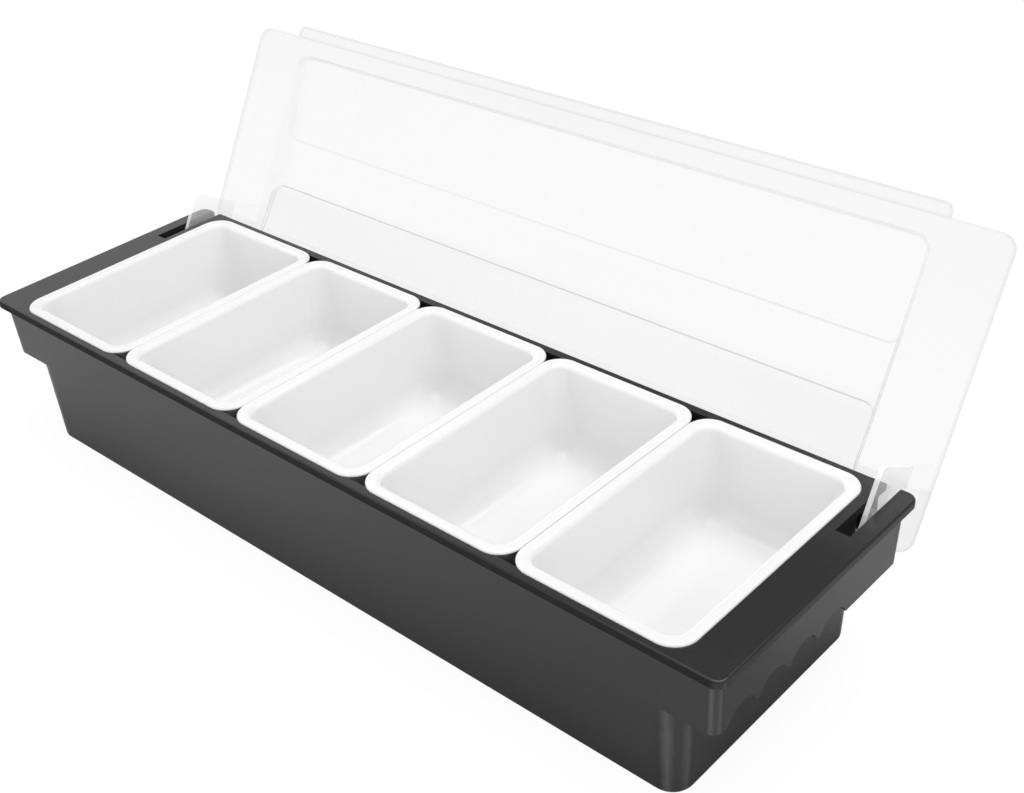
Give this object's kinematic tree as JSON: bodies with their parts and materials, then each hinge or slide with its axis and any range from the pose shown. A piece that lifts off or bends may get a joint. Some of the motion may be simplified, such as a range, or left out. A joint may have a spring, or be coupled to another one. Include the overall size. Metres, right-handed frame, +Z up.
{
  "type": "bar garnish tray",
  "caption": "Long black tub with finger-grip ends, lift-out white inserts in a row over an ice space, and a clear hinged lid swung open at the rear.",
  "frame": {"origin": "centre of the tub's flat base, on the surface it stands on", "axes": "+X along the length, +Y to the hinged rear, +Z up; the lid is open and the inserts are in their seats at rest"},
  "size_m": [0.495, 0.2203, 0.1875],
  "materials": {
    "tray_plastic": "satin black moulded plastic",
    "insert_plastic": "smooth white moulded plastic",
    "lid_plastic": "clear polished plastic"
  },
  "bodies": {
    "tray": {"tray_base": "tray_plastic"},
    "insert_1": {"insert_1": "insert_plastic"},
    "insert_2": {"insert_2": "insert_plastic"},
    "insert_3": {"insert_3": "insert_plastic"},
    "insert_4": {"insert_4": "insert_plastic"},
    "insert_5": {"insert_5": "insert_plastic"},
    "lid": {"lid": "lid_plastic"}
  },
  "joints": [
    {"name": "lid_hinge", "type": "hinge", "parent": "tray", "child": "lid", "pos_m": [0, 0.06134, 0.07256], "axis": [-1, 0, 0], "range_deg": [-120.44, 0]},
    {"name": "insert_1_lift", "type": "slide", "parent": "tray", "child": "insert_1", "axis": [0, 0, 1], "range_m": [0, 0.11]},
    {"name": "insert_2_lift", "type": "slide", "parent": "tray", "child": "insert_2", "axis": [0, 0, 1], "range_m": [0, 0.11]},
    {"name": "insert_3_lift", "type": "slide", "parent": "tray", "child": "insert_3", "axis": [0, 0, 1], "range_m": [0, 0.11]},
    {"name": "insert_4_lift", "type": "slide", "parent": "tray", "child": "insert_4", "axis": [0, 0, 1], "range_m": [0, 0.11]},
    {"name": "insert_5_lift", "type": "slide", "parent": "tray", "child": "insert_5", "axis": [0, 0, 1], "range_m": [0, 0.11]}
  ]
}
